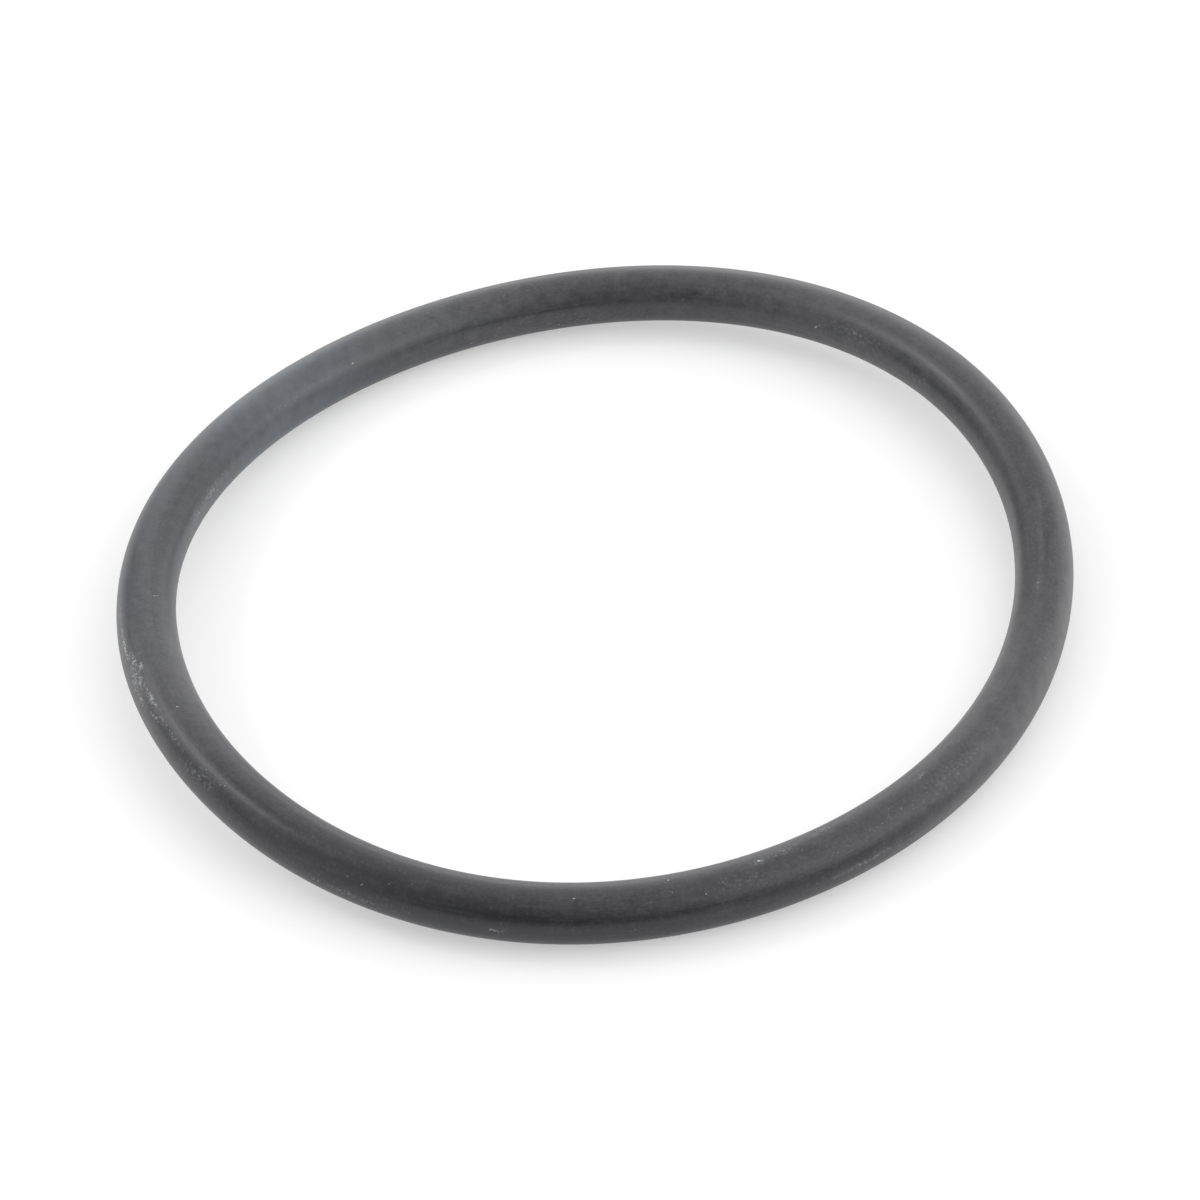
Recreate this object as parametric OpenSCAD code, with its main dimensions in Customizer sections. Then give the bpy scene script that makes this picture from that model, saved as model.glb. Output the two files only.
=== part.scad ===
// Rubber O-ring: one moulded ring of round section, lying free on a flat surface.
// Seen from above it is round. Out of its groove it has kept a slight saddle warp: it touches
// the surface at two opposite places, at the front and at the back, and rises on the sides.
// The origin is on the surface, under the middle of the ring, and +Z is up.

/* [Ring] */
// Inside diameter of the ring, flat and free
inside_d = 72; // [40:0.5:110]
// Diameter of the round section
section_d = 5; // [2.5:0.1:8]

/* [Warp] */
// Rise of the right side above the surface
right_rise = 1.75; // [0:0.05:4]
// Rise of the left side above the surface
left_rise = 2.7; // [0:0.05:4]
// Direction of the right side's rise, in degrees from +X
rise_angle = 20; // [-90:1:90]
// Extra rise of the sides towards the back, which lets the front lie down longer than the back
back_lean = 1.4; // [0:0.05:1.5]
// How much of the rise is kept close to the two sides, which lengthens both resting places
side_hold = 0.4; // [0:0.05:0.5]

/* [Hidden] */
// Flat sides round the section, and stations along the ring
section_sides = 24;
stations = 144;
rubber = [0.12, 0.13, 0.14];
section_r = section_d / 2;
centre_r = (inside_d + section_d) / 2;
side_step = 360 / section_sides;
station_step = 360 / stations;

// Height of the centre line over its two resting places, at an angle from the right side's rise.
// The squared cosine makes it level and smooth where the ring lies down.
mean_rise = (right_rise + left_rise) / 2;
rise_difference = (right_rise - left_rise) / 2;
function rise_shape(a) =
    mean_rise - side_hold + rise_difference * cos(a) + back_lean * sin(a) + side_hold * cos(2 * a);
function rise_shape_slope(a) =
    -rise_difference * sin(a) + back_lean * cos(a) - 2 * side_hold * sin(2 * a);
function rise(a) = cos(a) * cos(a) * rise_shape(a);
function rise_slope(a) = cos(a) * cos(a) * rise_shape_slope(a) - sin(2 * a) * rise_shape(a);

// The rubber keeps its length, so the sides' rise draws the ring in a little, seen from above.
angles = [for (k = [0 : stations - 1]) k * station_step];
slope_squares = [for (a = angles) pow(rise_slope(a) / centre_r, 2)];
lowest_rise = min([for (a = angles) rise(a)]);
function total(list, from = 0) = from == len(list) ? 0 : list[from] + total(list, from + 1);
plan_r = centre_r * (1 - total(slope_squares) / stations / 2);

// Centre line of the section, and its direction, at an angle from +X
function centre_line(a) =
    [plan_r * cos(a), plan_r * sin(a), section_r + rise(a - rise_angle) - lowest_rise];
function direction(a) =
    unit([-plan_r * sin(a), plan_r * cos(a), rise_slope(a - rise_angle)]);
function unit(v) = v / norm(v);

// One point of the section, which stands square to the centre line, starting on the outer side
function section_point(a, side) =
    let (along = direction(a))
    let (outward = unit(cross(along, [0, 0, 1])))
    let (upward = cross(outward, along))
    centre_line(a) + section_r * (cos(side) * outward + sin(side) * upward);

// A round section carried once round the centre line and closed on itself
module ring_body() {
    points = [
        for (k = [0 : stations - 1], s = [0 : section_sides - 1])
            section_point(k * station_step, s * side_step)
    ];
    function index(k, s) = (k % stations) * section_sides + s % section_sides;
    faces = [
        for (k = [0 : stations - 1], s = [0 : section_sides - 1], half = [0, 1])
            half == 0
                ? [index(k, s), index(k, s + 1), index(k + 1, s)]
                : [index(k, s + 1), index(k + 1, s + 1), index(k + 1, s)]
    ];
    polyhedron(points, faces, convexity = 4);
}

module o_ring() {
    color(rubber) ring_body();
}

o_ring();
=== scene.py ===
import math

import bmesh
import bpy
import numpy as np
from mathutils import Matrix, Vector


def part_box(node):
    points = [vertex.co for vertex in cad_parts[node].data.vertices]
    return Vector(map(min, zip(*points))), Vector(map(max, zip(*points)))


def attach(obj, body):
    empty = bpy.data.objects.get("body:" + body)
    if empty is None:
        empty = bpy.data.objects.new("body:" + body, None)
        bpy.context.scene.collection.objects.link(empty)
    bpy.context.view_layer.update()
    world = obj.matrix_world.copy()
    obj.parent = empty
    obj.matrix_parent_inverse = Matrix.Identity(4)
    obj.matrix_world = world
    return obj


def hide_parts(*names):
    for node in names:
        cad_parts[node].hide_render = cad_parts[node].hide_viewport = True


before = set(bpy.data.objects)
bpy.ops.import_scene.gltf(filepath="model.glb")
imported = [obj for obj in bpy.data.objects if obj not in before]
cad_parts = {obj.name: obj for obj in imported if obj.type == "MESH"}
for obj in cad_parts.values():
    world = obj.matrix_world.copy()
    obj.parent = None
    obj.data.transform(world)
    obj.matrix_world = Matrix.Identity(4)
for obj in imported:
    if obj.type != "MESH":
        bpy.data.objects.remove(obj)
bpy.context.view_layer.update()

MM = 0.001

# The ring: the same sizes and warp as the solid that it stands for
SECTION_R = 2.5 * MM
RIGHT_RISE = 1.75 * MM
LEFT_RISE = 2.7 * MM
RISE_ANGLE = math.radians(20)
BACK_LEAN = 1.4 * MM
SIDE_HOLD = 0.4 * MM
STATIONS = 840
SIDES = 92

# Parting line of the mould, along the outer and the inner side: a fine ridge that comes and goes
RIDGE_HEIGHT = 0.012 * MM
RIDGE_WIDTH = 0.09 * MM
RIDGE_STEPS = (-3.4, -1.7, 1.7, 3.4)
RIDGE_SHARE = 0.55
RIDGE_SWING = 0.45

# How much the section is thicker than its nominal size, everywhere but on its underside
FULLNESS = 0.014 * MM
UNDERSIDE_HALF = math.radians(30)
# Where the section is a little thicker or thinner: angle along the ring and half length in degrees
SWELLS = [
    (191, 13, 0.075 * MM),
    (48, 22, -0.045 * MM),
    (332, 26, -0.060 * MM),
]

# The camera, in degrees, metres and pixels of the 1200 pixel frame
CAMERA_ELEVATION = 43.04
CAMERA_ROLL = -6.14
CAMERA_DISTANCE = 0.49177
CAMERA_TARGET = Vector((0.28 * MM, 1.27 * MM, 0))
FOCAL_PX = 5694
FRAME_PX = 1200
SENSOR_MM = 36

# Colours, as linear values
RUBBER = (0.0092, 0.0095, 0.0155)
# Grey of the film, also used for painted highlights and painted reflection
FILM_AND_PAINTED_LIGHT_GREY = (0.115, 0.115, 0.118)
BLOOM = (0.098, 0.115, 0.134)
CRUMB = (0.50, 0.51, 0.52)

# Marks lie at an angle along the ring, which counts from the right towards the back, and at an angle
# round the section, where 0 is the outer side, 90 the top and 180 the inner side.
# Grey film on the rubber, all round the section: angle, half length in degrees, strength. The row below
# 0 is painted shade, less film at the front where the rubber reflects less light.
FILM_PATCHES_AND_PAINTED_SHADE = [
    (52, 26, 0.22),
    (88, 16, 0.10),
    (195, 15, 0.26),
    (108, 14, 0.22),
    # Painted shade: the film thinned at the front, where the rubber reflects less light
    (240, 22, -0.08),
    (325, 21, 0.33),
]
FILM_EVERYWHERE = 0.11
# The bluish bloom that has come out of the rubber
BLOOM_PATCHES = [
    (134, 18, 0.64),
    (168, 20, 0.18),
]
# Film on the flanks, partly dust and partly painted light: angle, side, half length and half width in
# mm, strength. Lighter low flanks at the raised sides paint a brighter reflection of the floor; darker
# rows low on the front paint shade.
FLANKS_DUST_AND_PAINTED_LIGHT = [
    # Painted reflection: the low outer flank lighter at the raised right side
    (350, 18, 15.0, 1.10, 0.76),
    (16, 47, 8.0, 0.90, 0.46),
    (345, 55, 10.0, 0.80, 0.10),
    # Painted reflection: the low outer flank lighter at the raised left side
    (175, 22, 12.0, 1.10, 0.62),
    (159, 177, 15.0, 1.00, 0.48),
    (192, 142, 8.0, 0.80, 0.38),
    (352, 156, 13.0, 0.80, 0.72),
    (331, 137, 9.0, 0.80, 0.50),
    # Painted shade: low on the front, darker
    (258, 0, 22.0, 1.50, -0.10),
    (84, 58, 7.0, 0.80, -0.30),
    (65, 200, 14.0, 1.20, -0.10),
    (282, 95, 8.0, 0.70, 0.10),
    (318, 80, 10.0, 0.80, -0.10),
    (311, -8, 8.0, 0.55, 0.32),
    (291, -8, 7.0, 0.50, 0.08),
    (66, 60, 5.0, 0.70, 0.12),
    (126, 58, 5.0, 0.80, 0.22),
    # Painted shade: two darker rows low on the front
    (297, 22, 9.0, 0.36, -0.15),
    (314, 20, 4.0, 0.40, -0.12),
]
# Soft marks and painted light: angle, side, half length and half width in mm, strength. Dark ones are
# below 0. Some rows are painted highlights along the small lamp's streaks and painted shade beside
# them.
SOFT_MARKS_AND_PAINTED_LIGHT = [
    # Painted highlight along the small lamp's streak at the right, and painted shade beside it
    (30, 121, 3.2, 0.16, 0.40),
    (30, 150, 8.0, 0.34, -0.07),
    # Painted highlight along the small lamp's streak at the front left, and painted shade beside it
    (219, 65, 5.0, 0.14, 0.34),
    (219, 77, 5.0, 0.12, -0.16),
    # Painted shade: a dark band near the inner side at the right
    (1, 136, 6.0, 0.30, -0.16),
    (46, 184, 12.0, 0.10, 0.16),
    (132, 140, 9.0, 0.22, 0.16),
    (96, 157, 11.0, 0.10, -0.14),
    (71, 138, 0.5, 0.22, -0.22),
    (75.5, 125, 0.9, 0.16, -0.16),
    (157, 115, 4.5, 0.10, -0.14),
    (187, 108, 3.2, 0.09, -0.16),
    (172.5, 64, 1.7, 0.16, -0.30),
    (177, 52, 2.5, 0.20, -0.20),
    (187.5, 53, 2.2, 0.16, -0.22),
    (202, 42, 2.4, 0.20, -0.16),
    (183, 37, 2.0, 0.18, 0.25),
    (188, 36, 1.5, 0.22, 0.35),
    (191.3, 50, 1.0, 0.30, 0.35),
    (194.5, 40, 1.6, 0.50, 0.42),
    (198.8, 53, 1.9, 0.20, 0.28),
    (189.5, 166, 2.2, 0.24, 0.75),
    (160, 170, 4.0, 0.40, 0.16),
    (286.5, 88, 1.0, 0.22, 0.22),
    (289.5, 100, 1.6, 0.20, 0.22),
    (310.5, 94, 0.9, 0.14, 0.26),
    (298, 4, 2.2, 0.16, 0.26),
    (255, 5, 0.8, 0.12, 0.20),
    (236, 0, 3.6, 0.22, 0.14),
    (355, 95, 4.0, 0.18, 0.14),
    (2, 87, 1.4, 0.14, 0.24),
    (355, 84, 3.0, 0.12, -0.16),
    (347.5, 97, 0.6, 0.14, 0.22),
    (230.0, 28, 1.2, 0.14, 0.10),
    (233.5, 37, 1.4, 0.14, 0.12),
    (230.0, 48, 2.0, 0.16, -0.12),
    (235.8, 57, 2.4, 0.16, -0.12),
]
# Pale deposits, broken up into fine spots: angle, side, half length and half width in mm, strength
DEPOSITS = [
    (181.5, 37, 1.2, 0.12, 0.45),
    (184.5, 36, 1.5, 0.16, 0.60),
    (187.8, 36, 1.2, 0.17, 0.95),
    (191.0, 48, 0.7, 0.20, 0.95),
    (192.8, 61, 0.4, 0.14, 0.90),
    (194.0, 44, 1.1, 0.36, 0.70),
    (195.8, 30, 1.6, 0.24, 0.65),
    (198.8, 53, 1.6, 0.15, 0.80),
    (200.8, 40, 0.7, 0.18, 0.55),
    (204.0, 50, 1.6, 0.18, 0.35),
    (212, 38, 1.6, 0.45, 0.16),
    (189.5, 166, 1.8, 0.20, 0.50),
    (286.4, 91, 0.5, 0.24, 0.20),
    (289.6, 95, 0.8, 0.30, 0.22),
    (295.3, 108, 1.2, 0.32, 0.16),
    (283.5, 60, 1.8, 0.40, 0.06),
    (311.0, 94, 0.7, 0.20, 0.20),
    (314.0, 57, 5.0, 0.55, 0.05),
    (298.0, 5, 2.2, 0.16, 0.24),
    (254.5, 5, 0.8, 0.13, 0.45),
    (236.0, 0, 3.5, 0.24, 0.15),
    (347.8, 98, 0.8, 0.14, 0.18),
    (46.0, 148, 2.5, 0.50, 0.08),
    (157.0, 168, 3.5, 0.45, 0.20),
    (133.0, 138, 4.5, 0.25, 0.08),
]
# Where fine dust lies: angle, side, half length and half width in mm, strength
DUST_PATCHES = [
    (290, 62, 11.0, 1.1, 0.4),
    (314, 58, 6.0, 0.8, 0.4),
    (45, 148, 4.0, 0.7, 0.6),
    (95, 195, 9.0, 0.8, 0.8),
    (105, 95, 8.0, 0.9, 0.5),
    (158, 170, 6.0, 0.7, 0.9),
    (188, 45, 5.0, 0.8, 0.8),
    (212, 38, 3.0, 0.8, 0.6),
    (238, 5, 6.0, 0.7, 0.8),
    (298, 5, 4.0, 0.6, 0.7),
    (0, 92, 8.0, 0.9, 0.4),
    (30, 170, 9.0, 0.6, 0.6),
]
DUST_EVERYWHERE = 0.20

# Crumbs stuck to the ring: angle, side, half length and half width of the cluster in mm, number,
# size of one crumb in mm, paleness
CLUSTERS = [
    (181.3, 37, 0.9, 0.12, 6, 0.07, 0.50),
    (184.2, 36, 1.3, 0.16, 10, 0.07, 0.55),
    (187.6, 36, 0.9, 0.16, 13, 0.10, 0.85),
    (189.8, 39, 0.5, 0.16, 9, 0.10, 0.85),
    (191.2, 49, 0.6, 0.20, 9, 0.08, 0.80),
    (192.8, 61, 0.5, 0.18, 7, 0.08, 0.80),
    (194.0, 44, 1.0, 0.34, 14, 0.07, 0.55),
    (195.4, 31, 1.3, 0.22, 13, 0.07, 0.50),
    (197.5, 53, 0.8, 0.16, 9, 0.07, 0.65),
    (199.6, 52, 1.0, 0.18, 12, 0.07, 0.65),
    (200.6, 39, 0.6, 0.15, 6, 0.08, 0.50),
    (203.5, 50, 1.0, 0.16, 5, 0.07, 0.40),
    (211, 38, 1.2, 0.45, 7, 0.07, 0.32),
    (216, 58, 2.0, 0.18, 7, 0.07, 0.45),
    (229.5, 110, 0.9, 0.25, 4, 0.07, 0.35),
    (236, 0, 3.0, 0.22, 12, 0.07, 0.36),
    (254.5, 5, 0.6, 0.12, 6, 0.08, 0.50),
    (286.4, 91, 0.5, 0.30, 4, 0.07, 0.35),
    (289.5, 96, 0.8, 0.30, 9, 0.08, 0.36),
    (289.7, 85, 0.2, 0.10, 3, 0.07, 0.50),
    (283.5, 62, 1.6, 0.40, 7, 0.06, 0.25),
    (286.5, 50, 1.6, 0.40, 6, 0.06, 0.28),
    (295.3, 108, 1.0, 0.30, 7, 0.08, 0.35),
    (295.5, 48, 0.9, 0.20, 5, 0.08, 0.40),
    (298, 5, 1.2, 0.15, 9, 0.07, 0.35),
    (303, 58, 1.4, 0.30, 6, 0.07, 0.32),
    (311.5, 56, 4.0, 0.35, 15, 0.07, 0.20),
    (310.5, 95, 0.5, 0.20, 6, 0.08, 0.38),
    (348, 98, 0.8, 0.12, 5, 0.07, 0.35),
    (46, 148, 2.4, 0.55, 12, 0.07, 0.22),
    (92, 197, 6.0, 0.30, 10, 0.08, 0.45),
    (157, 168, 3.4, 0.40, 12, 0.09, 0.45),
    (133, 138, 4.0, 0.25, 6, 0.06, 0.30),
]
# Single crumbs: angle, side, size in mm, paleness
SINGLE_CRUMBS = [
    (180.5, 120, 0.055, 0.75),
    (180.6, 116, 0.065, 0.90),
    (180.7, 112, 0.055, 0.75),
    (201.8, 88, 0.09, 0.90),
    (275.0, 99, 0.11, 0.60),
    (274.6, 93, 0.08, 0.30),
    (286.3, 91, 0.14, 0.80),
    (279.0, 54, 0.10, 0.34),
    (347.6, 98, 0.11, 0.45),
    (52.3, 164, 0.12, 0.45),
    (51.7, 158, 0.09, 0.30),
    (122.3, 137, 0.10, 0.70),
    (104.0, 68, 0.11, 0.50),
    (263.5, 75, 0.09, 0.50),
    (261.0, 118, 0.08, 0.45),
    (336.0, 44, 0.08, 0.45),
    (238.0, 33, 0.09, 0.24),
    (241.2, 51, 0.09, 0.26),
    (236.0, 38, 0.07, 0.18),
]
# A bit of fibre lying on the ring, made of small crumbs: angle and side of the places that it passes
FIBRE = [(304.0, 76), (303.7, 71), (303.4, 65), (303.1, 61), (302.7, 59), (302.3, 60)]
FIBRE_SIZE = 0.042 * MM
FIBRE_PALENESS = 0.20
FIBRE_STEP = 0.25
# Loose crumbs everywhere: number, size in mm, and between which sides, in half turns
LOOSE_CRUMBS = 220
LOOSE_SIZE = 0.055
LOOSE_SIZES = (0.6, 1.5)
LOOSE_PALENESS = (0.05, 0.28)
LOOSE_SIDES = (-0.4, 1.4)
# How the crumbs vary: their scatter in a cluster, their turn in radians, and shares of their size
CLUSTER_SCATTER = 0.6
CLUSTER_SIZES = (0.5, 1.4)
CLUSTER_PALENESS = (0.4, 1.0)
CRUMB_TURN = 0.7
CRUMB_LENGTHS = (0.9, 1.9)
CRUMB_WIDTHS = (0.5, 1.0)
CRUMB_UNEVENNESS = (0.7, 1.2)
CRUMB_FLATNESS = 0.35
SEED = 11

# The rubber's pattern: streaks to a radian along the ring and round the section, and the sizes in mm
# of its cloudiness, grain and specks
STREAKS_ALONG = 9
STREAKS_ROUND = 16
CLOUD_MM = 1.1
GRAIN_MM = 0.30
SPECK_MM = 0.28
# How far each pattern moves the film, and how strongly dust dots show
FILM_SWING_CLOUD = 0.22
FILM_SWING_GRAIN = 0.34
FILM_SWING_STREAKS = 0.28
DOT_STRENGTH = 0.50
# From which to which level of the speck pattern a dust dot or a deposit builds up
DOT_LEVELS = (0.58, 0.76)
DEPOSIT_LEVELS = (0.46, 0.66)
ROUGHNESS = 0.36
FILM_ROUGHNESS = 0.10
CRUMB_ROUGHNESS = 0.35
RUBBER_IOR = 1.58
RELIEF_HEIGHT = 0.010 * MM

# The floor, and how much of its white it shows whatever light reaches it
FLOOR_SIZE = 3.0
FLOOR_COLOUR = (1.0, 1.0, 1.0, 1)
FLOOR_WHITE_SHARE = 0.40

# Broad soft sources of the studio: azimuth, elevation, how narrow, how bright (1 is white)
LOW_SOURCES = [
    (0, 0, 12, 1.0),
    (40, 0, 20, 1.6),
    (65, 10, 20, 0.5),
    (90, 0, 12, 2.5),
    (150, 0, 15, 0.9),
    (205, 15, 15, 1.1),
]
MIDDLE_SOURCES = [
    (40, 30, 15, 0.4),
    (95, 40, 15, 1.0),
    (150, 42, 20, 2.2),
    (200, 45, 15, 0.6),
    (310, 40, 9, 1.0),
    (335, 35, 7, 1.1),
]
HIGH_SOURCES = [
    (10, 70, 4, 0.7),
    (50, 60, 15, 0.6),
    (120, 80, 20, 0.3),
]
ROOM_GLOW = 0.065

# One small lamp: azimuth, elevation, distance and radius in metres, brightness of its face
SMALL_LAMP = (157, 45, 1.0, 0.075, 11.0)


def rise(a):
    """Height of the centre line over its resting places, at an angle from the right side's rise."""
    mean = (RIGHT_RISE + LEFT_RISE) / 2
    difference = (RIGHT_RISE - LEFT_RISE) / 2
    shape = mean - SIDE_HOLD + difference * np.cos(a) + BACK_LEAN * np.sin(a)
    return np.cos(a) ** 2 * (shape + SIDE_HOLD * np.cos(2 * a))


LOWEST_RISE = rise(np.radians(np.arange(0, 360, 0.5))).min()


def turn_between(a, b):
    """Smallest angle from b to a, in radians."""
    return (a - b + np.pi) % (2 * np.pi) - np.pi


def bump(distance, half):
    return np.exp(-(distance / half) ** 2)


def unit(vectors):
    return vectors / np.linalg.norm(vectors, axis=-1, keepdims=True)


def centre_line(plan_r, along):
    height = SECTION_R + rise(along - RISE_ANGLE) - LOWEST_RISE
    return np.stack([plan_r * np.cos(along), plan_r * np.sin(along), height], axis=-1)


def ring_frame(plan_r, along):
    """Centre of the section, direction along the ring, outward and upward, at each angle."""
    step = 0.001
    direction = unit(centre_line(plan_r, along + step) - centre_line(plan_r, along - step))
    outward = unit(np.cross(direction, [0, 0, 1]))
    return centre_line(plan_r, along), direction, outward, np.cross(outward, direction)


def section_angles():
    """Even steps round the section, with more of them at the two parting lines."""
    even = np.arange(SIDES) * 360 / SIDES
    extra = [line + step for line in (0, 180) for step in RIDGE_STEPS]
    return np.radians(np.sort(np.concatenate([even, np.array(extra) % 360])))


def section_radius(along, around):
    """Radius of the section: its slow swelling along the ring, and the parting lines."""
    radius = SECTION_R + FULLNESS * (1 - bump(turn_between(around, -math.pi / 2), UNDERSIDE_HALF))
    radius = radius + np.zeros(along.shape)
    for angle, half, swell in SWELLS:
        radius += swell * bump(turn_between(along, math.radians(angle)), math.radians(half))
    fade = RIDGE_SHARE + RIDGE_SWING * np.sin(3 * along + 0.8) * np.sin(7 * along)
    for line in (0, math.pi):
        radius += RIDGE_HEIGHT * fade * bump(turn_between(around, line) * SECTION_R, RIDGE_WIDTH)
    return radius


def surface(plan_r, along, around):
    """Point, direction along the ring, direction round the section and normal, at each place."""
    centre, direction, outward, upward = ring_frame(plan_r, along)
    cos, sin = np.cos(around)[..., None], np.sin(around)[..., None]
    normal = cos * outward + sin * upward
    point = centre + section_radius(along, around)[..., None] * normal
    return point, np.broadcast_to(direction, point.shape), cos * upward - sin * outward, normal


def tube_faces(stations, sides):
    """Four-cornered faces of a tube that closes on itself both ways."""
    row, column = np.meshgrid(np.arange(stations) * sides, np.arange(sides), indexing="ij")
    next_row = (row + sides) % (stations * sides)
    next_column = (column + 1) % sides
    corners = [row + column, row + next_column, next_row + next_column, next_row + column]
    return np.stack(corners, axis=-1).reshape(-1, 4)


def patches(along, table):
    """Sum of patches that reach all round the section, at each angle along the ring."""
    level = np.zeros(along.shape)
    for angle, half, strength in table:
        level += strength * bump(turn_between(along, math.radians(angle)), math.radians(half))
    return level


def ovals(plan_r, along, around, table):
    """Sum of soft oval marks at each place."""
    level = np.zeros(along.shape)
    for angle, side, half_length, half_width, strength in table:
        over = turn_between(along, math.radians(angle)) * plan_r
        across = turn_between(around, math.radians(side)) * SECTION_R
        level += strength * bump(over, half_length * MM) * bump(across, half_width * MM)
    return level


def crumb_list(plan_r):
    """Angle, side, size in metres and paleness of all crumbs."""
    draw = np.random.default_rng(SEED)
    crumbs = [
        (math.radians(angle), math.radians(side), size * MM, pale)
        for angle, side, size, pale in SINGLE_CRUMBS
    ]
    for angle, side, half_length, half_width, count, size, pale in CLUSTERS:
        for _ in range(count):
            over, across = draw.normal(0, CLUSTER_SCATTER, 2)
            crumbs.append((
                math.radians(angle) + over * half_length * MM / plan_r,
                math.radians(side) + across * half_width * MM / SECTION_R,
                size * draw.uniform(*CLUSTER_SIZES) * MM,
                pale * draw.uniform(*CLUSTER_PALENESS),
            ))
    for start, end in zip(FIBRE[:-1], FIBRE[1:]):
        for share in np.arange(0, 1, FIBRE_STEP):
            angle, side = (1 - share) * np.radians(start) + share * np.radians(end)
            crumbs.append((angle, side, FIBRE_SIZE, FIBRE_PALENESS))
    for _ in range(LOOSE_CRUMBS):
        angle = draw.uniform(0, 2 * math.pi)
        side = draw.uniform(*LOOSE_SIDES) * math.pi
        size = LOOSE_SIZE * draw.uniform(*LOOSE_SIZES) * MM
        crumbs.append((angle, side, size, draw.uniform(*LOOSE_PALENESS)))
    return np.array(crumbs)


def lump_form():
    """Corners and faces of one plain lump of radius 1."""
    form = bmesh.new()
    bmesh.ops.create_icosphere(form, subdivisions=1, radius=1)
    corners = np.array([list(corner.co) for corner in form.verts])
    faces = np.array([[corner.index for corner in face.verts] for face in form.faces])
    form.free()
    return corners, faces


def crumb_lumps(plan_r, crumbs):
    """Corners and faces of uneven, flattened lumps that lie half sunk in the surface."""
    draw = np.random.default_rng(SEED + 1)
    corners, faces = lump_form()
    places = surface(plan_r, crumbs[:, 0], crumbs[:, 1])
    size = crumbs[:, 2:3]
    count = len(crumbs)
    turn = draw.normal(0, CRUMB_TURN, (count, 1))
    length = size * draw.uniform(*CRUMB_LENGTHS, (count, 1))
    width = size * draw.uniform(*CRUMB_WIDTHS, (count, 1))
    rough = corners[None] * draw.uniform(*CRUMB_UNEVENNESS, (count, len(corners), 1))
    x, y = rough[..., 0] * length, rough[..., 1] * width
    over = x * np.cos(turn) - y * np.sin(turn)
    across = x * np.sin(turn) + y * np.cos(turn)
    up = rough[..., 2] * size * CRUMB_FLATNESS
    lumps, direction, round_way, normal = (place[:, None, :] for place in places)
    for distance, way in ((over, direction), (across, round_way), (up, normal)):
        lumps = lumps + distance[..., None] * way
    starts = np.arange(count)[:, None, None] * len(corners)
    return lumps.reshape(-1, 3), (faces[None] + starts).reshape(-1, 3)


def add_field(mesh, name, kind, values):
    """Stores one value or vector for each vertex, for the material to read."""
    field = mesh.attributes.new(name, kind, "POINT")
    member = "vector" if kind == "FLOAT_VECTOR" else "value"
    field.data.foreach_set(member, np.ravel(values).astype(np.float32))


def add_object(name, mesh):
    made = bpy.data.objects.new(name, mesh)
    bpy.context.scene.collection.objects.link(made)
    return made


def make_ring():
    low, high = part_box("o_ring")
    plan_r = (high.x - low.x) / 2 - SECTION_R
    sides = section_angles()
    along, around = np.meshgrid(np.arange(STATIONS) * 2 * np.pi / STATIONS, sides, indexing="ij")
    points = surface(plan_r, along, around)[0].reshape(-1, 3)
    faces = tube_faces(*along.shape)
    crumbs = crumb_list(plan_r)
    lumps, lump_faces = crumb_lumps(plan_r, crumbs)
    lump_size = len(lumps) // len(crumbs)

    mesh = bpy.data.meshes.new("rubber_ring")
    all_faces = faces.tolist() + (lump_faces + len(points)).tolist()
    mesh.from_pydata(np.concatenate([points, lumps]).tolist(), [], all_faces)
    mesh.polygons.foreach_set("use_smooth", [True] * len(mesh.polygons))

    angle = np.concatenate([along.ravel(), np.repeat(crumbs[:, 0], lump_size)])
    side = np.concatenate([around.ravel(), np.repeat(crumbs[:, 1], lump_size)])
    pale = np.concatenate([np.zeros(len(points)), np.repeat(crumbs[:, 3], lump_size)])
    # This field holds the dust film and also the painted highlights, painted reflection and painted
    # shade of the marks and flanks
    film_and_painted_light = FILM_EVERYWHERE + patches(angle, FILM_PATCHES_AND_PAINTED_SHADE)
    film_and_painted_light += ovals(plan_r, angle, side, FLANKS_DUST_AND_PAINTED_LIGHT + SOFT_MARKS_AND_PAINTED_LIGHT)
    place = np.stack([np.cos(angle), np.sin(angle), np.cos(side)], axis=-1)
    add_field(mesh, "film_and_painted_light", "FLOAT", film_and_painted_light)
    add_field(mesh, "bloom", "FLOAT", patches(angle, BLOOM_PATCHES))
    add_field(mesh, "dust", "FLOAT", DUST_EVERYWHERE + ovals(plan_r, angle, side, DUST_PATCHES))
    add_field(mesh, "crumb", "FLOAT", pale)
    add_field(mesh, "deposit", "FLOAT", ovals(plan_r, angle, side, DEPOSITS))
    add_field(mesh, "ring_place", "FLOAT_VECTOR", place)
    add_field(mesh, "ring_turn", "FLOAT", np.sin(side))
    mesh.update()

    ring = add_object("rubber_ring", mesh)
    mesh.materials.append(rubber_material())
    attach(ring, "root")
    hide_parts("o_ring")


def new_material(name):
    material = bpy.data.materials.new(name)
    material.use_nodes = True
    tree = material.node_tree
    tree.nodes.clear()
    return material, tree


def feed(tree, socket, value):
    """Sets a socket to a number or a vector, or links it to another socket."""
    if isinstance(value, bpy.types.NodeSocket):
        tree.links.new(value, socket)
    else:
        socket.default_value = value


def math_node(tree, operation, first, second=0.0, third=0.0):
    node = tree.nodes.new("ShaderNodeMath")
    node.operation = operation
    for socket, value in zip(node.inputs, (first, second, third)):
        feed(tree, socket, value)
    return node.outputs[0]


def scaled(tree, value, low, high, new_low=0.0, new_high=1.0):
    """The value moved from one range to another, and held inside it."""
    node = tree.nodes.new("ShaderNodeMapRange")
    feed(tree, node.inputs["Value"], value)
    node.inputs["From Min"].default_value = low
    node.inputs["From Max"].default_value = high
    node.inputs["To Min"].default_value = new_low
    node.inputs["To Max"].default_value = new_high
    return node.outputs[0]


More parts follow.
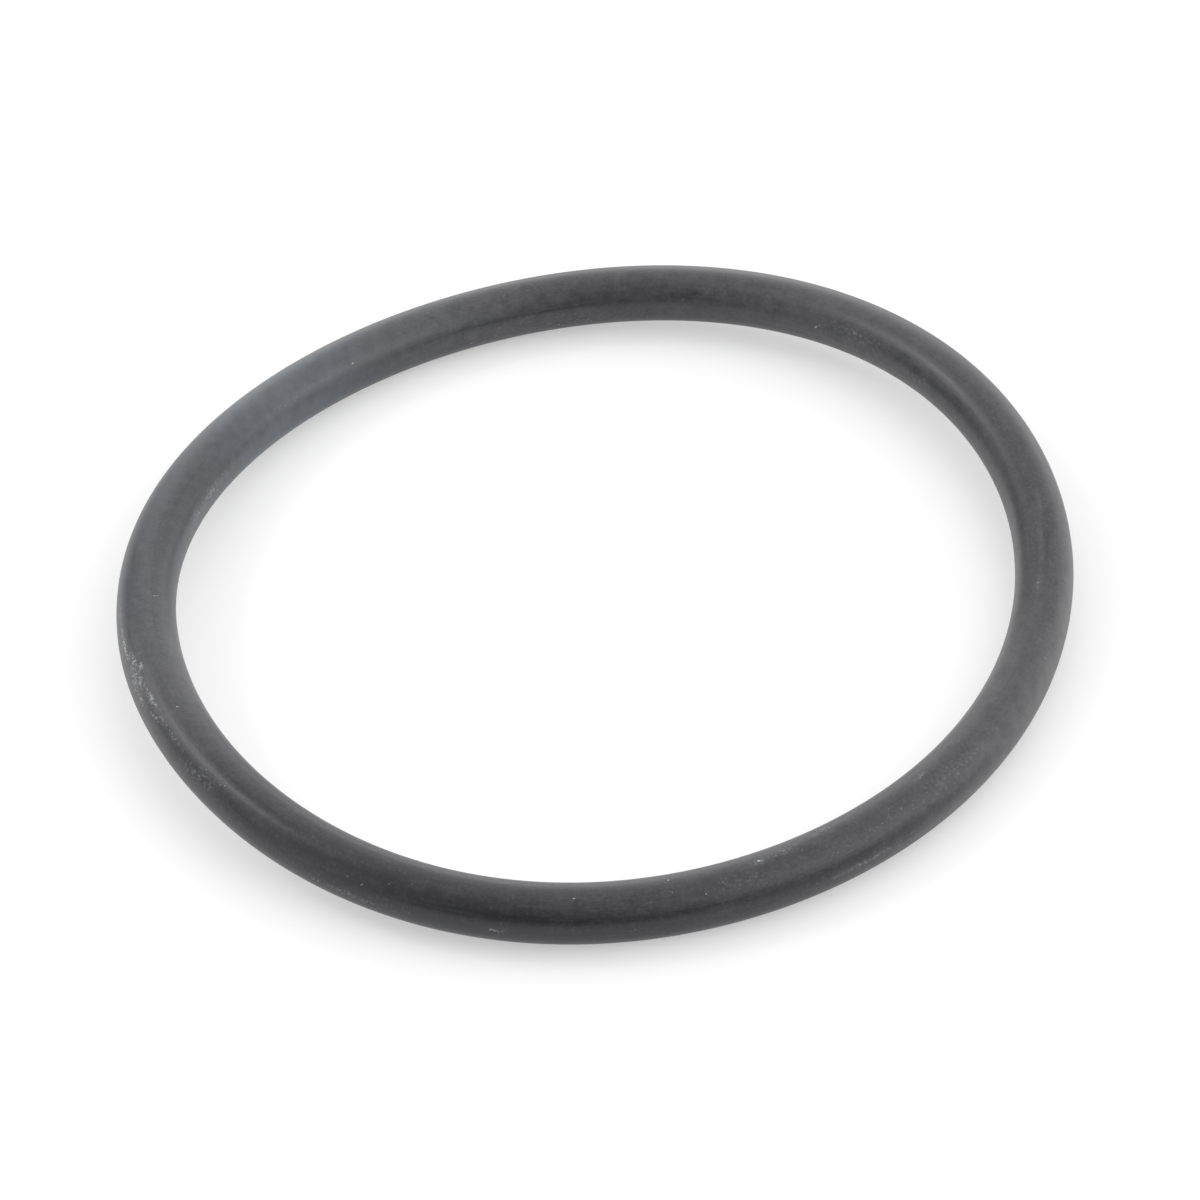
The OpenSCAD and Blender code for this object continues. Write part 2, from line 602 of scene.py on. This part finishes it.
def field_value(tree, name, output="Fac"):
    node = tree.nodes.new("ShaderNodeAttribute")
    node.attribute_name = name
    return node.outputs[output]


def lengthwise_noise(tree, along_scale, round_scale, detail):
    """Noise in streaks along the ring, without a seam. The scales are features to a radian."""
    place = tree.nodes.new("ShaderNodeVectorMath")
    place.operation = "MULTIPLY"
    tree.links.new(field_value(tree, "ring_place", "Vector"), place.inputs[0])
    place.inputs[1].default_value = (along_scale, along_scale, round_scale)
    node = tree.nodes.new("ShaderNodeTexNoise")
    node.noise_dimensions = "4D"
    tree.links.new(place.outputs[0], node.inputs["Vector"])
    turn = math_node(tree, "MULTIPLY", field_value(tree, "ring_turn"), round_scale)
    tree.links.new(turn, node.inputs["W"])
    node.inputs["Scale"].default_value = 1.0
    node.inputs["Detail"].default_value = detail
    return node.outputs["Fac"]


def even_noise(tree, grain_mm, detail):
    """Noise with features of about this size in all directions."""
    place = tree.nodes.new("ShaderNodeTexCoord")
    node = tree.nodes.new("ShaderNodeTexNoise")
    tree.links.new(place.outputs["Object"], node.inputs["Vector"])
    node.inputs["Scale"].default_value = 1 / (grain_mm * MM)
    node.inputs["Detail"].default_value = detail
    return node.outputs["Fac"]


def blend_colour(tree, share, first, second):
    node = tree.nodes.new("ShaderNodeMix")
    node.data_type = "RGBA"
    feed(tree, node.inputs[0], share)
    for socket, colour in ((node.inputs[6], first), (node.inputs[7], second)):
        feed(tree, socket, colour if isinstance(colour, bpy.types.NodeSocket) else (*colour, 1))
    return node.outputs[2]


def deviation(tree, noise, amount):
    """The noise's swing around its middle, times an amount."""
    return math_node(tree, "MULTIPLY", math_node(tree, "SUBTRACT", noise, 0.5), amount)


def total(tree, *values):
    level = values[0]
    for value in values[1:]:
        level = math_node(tree, "ADD", level, value)
    return level


def rubber_material():
    """Black rubber under a thin uneven grey layer that is partly dust and partly painted highlights,
    painted reflection and painted shade, with fine streaks along the ring, dust and pale crumbs.
    """
    material, tree = new_material("ring_rubber")
    streaks = lengthwise_noise(tree, STREAKS_ALONG, STREAKS_ROUND, 3)
    cloud = even_noise(tree, CLOUD_MM, 4)
    grain = even_noise(tree, GRAIN_MM, 2)
    specks = even_noise(tree, SPECK_MM, 1)
    clouding = math_node(tree, "ADD", cloud, 0.5)
    # The film's level, with painted highlights, painted reflection and painted shade in it
    film_and_painted_light = total(
        tree,
        math_node(tree, "MULTIPLY", field_value(tree, "film_and_painted_light"), clouding),
        deviation(tree, cloud, FILM_SWING_CLOUD),
        deviation(tree, grain, FILM_SWING_GRAIN),
        deviation(tree, streaks, FILM_SWING_STREAKS),
    )
    dots = math_node(tree, "MULTIPLY", scaled(tree, specks, *DOT_LEVELS), field_value(tree, "dust"))
    film_and_painted_light = math_node(tree, "ADD", film_and_painted_light, math_node(tree, "MULTIPLY", dots, DOT_STRENGTH))
    film_and_painted_light = math_node(tree, "MAXIMUM", film_and_painted_light, 0.0)
    bloom = math_node(tree, "MULTIPLY", field_value(tree, "bloom"), clouding)
    broken_up = scaled(tree, specks, *DEPOSIT_LEVELS)
    deposit = math_node(tree, "MULTIPLY", broken_up, field_value(tree, "deposit"))
    crumb = math_node(tree, "MAXIMUM", field_value(tree, "crumb"), deposit)

    colour = blend_colour(tree, film_and_painted_light, RUBBER, FILM_AND_PAINTED_LIGHT_GREY)
    colour = blend_colour(tree, bloom, colour, BLOOM)
    colour = blend_colour(tree, crumb, colour, CRUMB)
    rough = total(
        tree,
        ROUGHNESS,
        deviation(tree, streaks, 0.16),
        deviation(tree, cloud, 0.10),
        scaled(tree, film_and_painted_light, 0, 1, 0, FILM_ROUGHNESS),
        math_node(tree, "MULTIPLY", crumb, CRUMB_ROUGHNESS),
    )
    height = total(tree, grain, math_node(tree, "MULTIPLY", streaks, 0.6), dots)
    relief = tree.nodes.new("ShaderNodeBump")
    relief.inputs["Strength"].default_value = 1.0
    relief.inputs["Distance"].default_value = RELIEF_HEIGHT
    tree.links.new(height, relief.inputs["Height"])

    shader = tree.nodes.new("ShaderNodeBsdfPrincipled")
    tree.links.new(colour, shader.inputs["Base Color"])
    tree.links.new(rough, shader.inputs["Roughness"])
    tree.links.new(relief.outputs["Normal"], shader.inputs["Normal"])
    shader.inputs["IOR"].default_value = RUBBER_IOR
    output = tree.nodes.new("ShaderNodeOutputMaterial")
    tree.links.new(shader.outputs["BSDF"], output.inputs["Surface"])
    return material


def seen_directly(tree):
    """1 for rays from the camera and for mirror-like rays, so that both see the white background."""
    path = tree.nodes.new("ShaderNodeLightPath")
    seen = math_node(tree, "MAXIMUM", path.outputs["Is Camera Ray"], path.outputs["Is Glossy Ray"])
    return math_node(tree, "MAXIMUM", seen, path.outputs["Is Transmission Ray"])


def floor_material():
    material, tree = new_material("floor_white")
    diffuse = tree.nodes.new("ShaderNodeBsdfDiffuse")
    diffuse.inputs["Color"].default_value = FLOOR_COLOUR
    glow = tree.nodes.new("ShaderNodeEmission")
    glow.inputs["Strength"].default_value = 1.0
    mix = tree.nodes.new("ShaderNodeMixShader")
    tree.links.new(math_node(tree, "MULTIPLY", seen_directly(tree), FLOOR_WHITE_SHARE), mix.inputs[0])
    tree.links.new(diffuse.outputs[0], mix.inputs[1])
    tree.links.new(glow.outputs[0], mix.inputs[2])
    output = tree.nodes.new("ShaderNodeOutputMaterial")
    tree.links.new(mix.outputs[0], output.inputs["Surface"])
    return material


def make_floor():
    half = FLOOR_SIZE / 2
    mesh = bpy.data.meshes.new("floor")
    corners = [(-half, -half, 0), (half, -half, 0), (half, half, 0), (-half, half, 0)]
    mesh.from_pydata(corners, [], [(0, 1, 2, 3)])
    mesh.materials.append(floor_material())
    add_object("floor", mesh)


def sky_direction(azimuth, elevation):
    """Direction to a place around the ring: azimuth counts from +X towards the back, in degrees."""
    a, e = math.radians(azimuth), math.radians(elevation)
    return Vector((math.cos(e) * math.cos(a), math.cos(e) * math.sin(a), math.sin(e)))


def soft_source(tree, direction, azimuth, elevation, narrow, bright):
    """Brightness of one soft source, which falls off smoothly around its own direction."""
    nearness = tree.nodes.new("ShaderNodeVectorMath")
    nearness.operation = "DOT_PRODUCT"
    tree.links.new(direction, nearness.inputs[0])
    nearness.inputs[1].default_value = sky_direction(azimuth, elevation)
    off = math_node(tree, "SUBTRACT", nearness.outputs["Value"], 1.0)
    fall = math_node(tree, "EXPONENT", math_node(tree, "MULTIPLY", off, narrow))
    return math_node(tree, "MULTIPLY", fall, bright)


def make_world():
    world = bpy.data.worlds.new("studio")
    bpy.context.scene.world = world
    world.use_nodes = True
    tree = world.node_tree
    tree.nodes.clear()
    direction = tree.nodes.new("ShaderNodeTexCoord").outputs["Generated"]
    level = ROOM_GLOW
    for source in LOW_SOURCES + MIDDLE_SOURCES + HIGH_SOURCES:
        level = math_node(tree, "ADD", soft_source(tree, direction, *source), level)
    room = tree.nodes.new("ShaderNodeBackground")
    room.inputs["Color"].default_value = (1, 1, 1, 1)
    tree.links.new(level, room.inputs["Strength"])
    white = tree.nodes.new("ShaderNodeBackground")
    white.inputs["Color"].default_value = (1, 1, 1, 1)
    path = tree.nodes.new("ShaderNodeLightPath")
    mix = tree.nodes.new("ShaderNodeMixShader")
    tree.links.new(path.outputs["Is Camera Ray"], mix.inputs[0])
    tree.links.new(room.outputs[0], mix.inputs[1])
    tree.links.new(white.outputs[0], mix.inputs[2])
    output = tree.nodes.new("ShaderNodeOutputWorld")
    tree.links.new(mix.outputs[0], output.inputs["Surface"])


def make_lamp():
    azimuth, elevation, distance, radius, bright = SMALL_LAMP
    light = bpy.data.lights.new("small_lamp", "AREA")
    light.shape = "DISK"
    light.size = 2 * radius
    light.energy = bright * math.pi * (math.pi * radius ** 2)
    lamp = add_object("small_lamp", light)
    away = sky_direction(azimuth, elevation)
    lamp.location = away * distance
    lamp.rotation_euler = away.to_track_quat("Z", "Y").to_euler()


def make_camera():
    elevation = math.radians(CAMERA_ELEVATION)
    roll = math.radians(CAMERA_ROLL)
    look = Vector((0, math.cos(elevation), -math.sin(elevation)))
    level = Vector((1, 0, 0))
    above = level.cross(look)
    right = level * math.cos(roll) + above * math.sin(roll)
    up = above * math.cos(roll) - level * math.sin(roll)
    data = bpy.data.cameras.new("camera")
    data.sensor_fit = "HORIZONTAL"
    data.sensor_width = SENSOR_MM
    data.lens = FOCAL_PX / FRAME_PX * SENSOR_MM
    data.clip_start = 0.01
    camera = add_object("camera", data)
    turn = Matrix((right, up, -look)).transposed()
    camera.matrix_world = Matrix.Translation(CAMERA_TARGET - look * CAMERA_DISTANCE) @ turn.to_4x4()
    bpy.context.scene.camera = camera


make_camera()
make_world()
make_lamp()
make_floor()
make_ring()
bpy.context.scene.view_settings.view_transform = "Standard"
